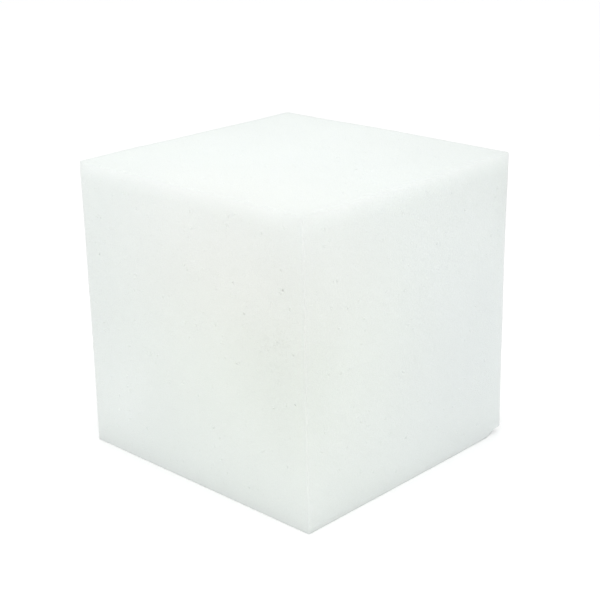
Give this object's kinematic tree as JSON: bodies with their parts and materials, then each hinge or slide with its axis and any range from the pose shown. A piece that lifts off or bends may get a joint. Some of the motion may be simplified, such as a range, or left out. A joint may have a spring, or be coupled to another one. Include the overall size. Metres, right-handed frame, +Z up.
{
  "type": "foam block",
  "caption": "Plain cube-like block of white, fine-celled soft foam with knife-cut faces, for padding, packing, propping or shaping.",
  "frame": {"origin": "middle of the base, on the surface that the block rests on", "axes": "+Z up out of the top face, -Y out of the front face, +X out of the right-hand face; the depth along Y is the shortest side, and the back right bottom corner is the rubbed one"},
  "size_m": [0.1, 0.097, 0.1],
  "materials": {
    "foam": "soft matt, very slightly translucent open-cell foam in a cool white, with cells of about 0.35 mm"
  },
  "bodies": {
    "root": {"foam_block": "foam"}
  },
  "joints": []
}
